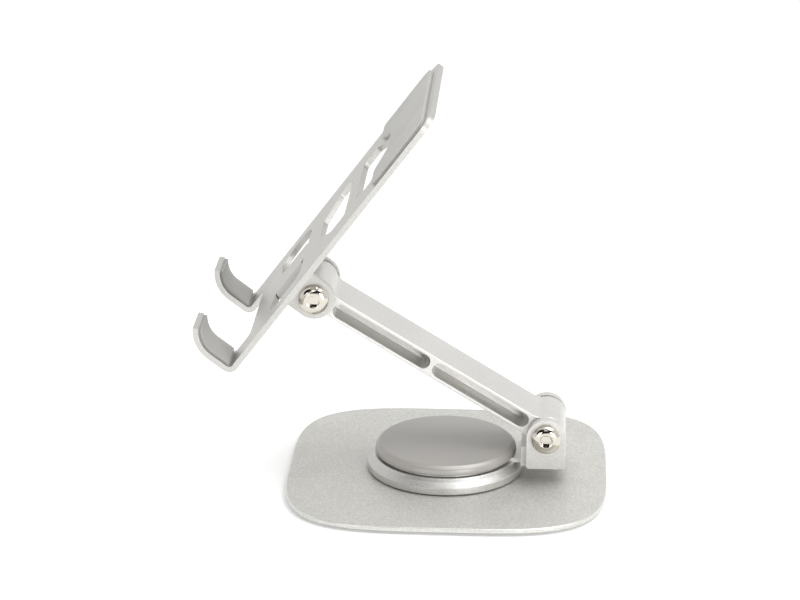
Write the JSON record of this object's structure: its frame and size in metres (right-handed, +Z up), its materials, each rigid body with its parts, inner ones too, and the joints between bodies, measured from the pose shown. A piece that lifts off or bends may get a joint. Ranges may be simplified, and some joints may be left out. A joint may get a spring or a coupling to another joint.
{
  "type": "laptop stand",
  "caption": "Folding laptop stand: a slotted sheet platform with padded hooks on a double-hinged arm, on a turntable that swivels on a flat soft-cornered base.",
  "frame": {"origin": "on the swivel axis, in the underside of the anti-slip pad, which is the surface that the stand stands on", "axes": "+Z up; -Y towards the user, where the two hooks are; +Y towards the base hinge; +X is the side of the bolt heads; the object is symmetric about X = 0 but for its bolts and sleeve nuts"},
  "size_m": [0.197, 0.256, 0.2566],
  "materials": {
    "satin_aluminium": "fine bead-blasted, clear anodised",
    "speckled_steel": "sand-blasted and clear coated, with a fine silver speckle",
    "pad_rubber": "matte moulded silicone",
    "base_rubber": "matte",
    "disc_plastic": "soft satin",
    "chrome": "polished",
    "zinc_steel": "zinc plated",
    "nylon": "natural"
  },
  "bodies": {
    "base": {"base_pad": "base_rubber", "base_plate": "speckled_steel", "swivel_hub": "zinc_steel", "swivel_screw": "zinc_steel", "slide_washer": "nylon", "clamp_washer": "zinc_steel", "jam_nut": "zinc_steel"},
    "turntable": {"turntable_ring": "satin_aluminium", "disc_cover": "disc_plastic", "bracket_screw_1": "zinc_steel", "bracket_screw_2": "zinc_steel", "bracket_screw_3": "zinc_steel", "bracket_screw_4": "zinc_steel", "hinge_bracket": "satin_aluminium", "base_hinge_bolt": "chrome", "base_hinge_nut": "chrome"},
    "arm": {"arm": "satin_aluminium", "arm_base_bush_right": "nylon", "arm_base_bush_left": "nylon", "arm_top_bush_right": "nylon", "arm_top_bush_left": "nylon"},
    "platform": {"platform": "satin_aluminium", "rear_pad": "pad_rubber", "hook_pad_right": "pad_rubber", "hook_pad_left": "pad_rubber", "top_hinge_bolt": "chrome", "top_hinge_nut": "chrome"}
  },
  "joints": [
    {"name": "base_swivel", "type": "hinge", "parent": "base", "child": "turntable", "pos_m": [0, 0, 0], "axis": [0, 0, 1], "continuous": true},
    {"name": "arm_tilt", "type": "hinge", "parent": "turntable", "child": "arm", "pos_m": [0, 0.0645, 0.0353], "axis": [-1, 0, 0], "range_deg": [-24, 60]},
    {"name": "platform_tilt", "type": "hinge", "parent": "arm", "child": "platform", "pos_m": [0, -0.08215, 0.12517], "axis": [1, 0, 0], "range_deg": [-84, 15]}
  ]
}
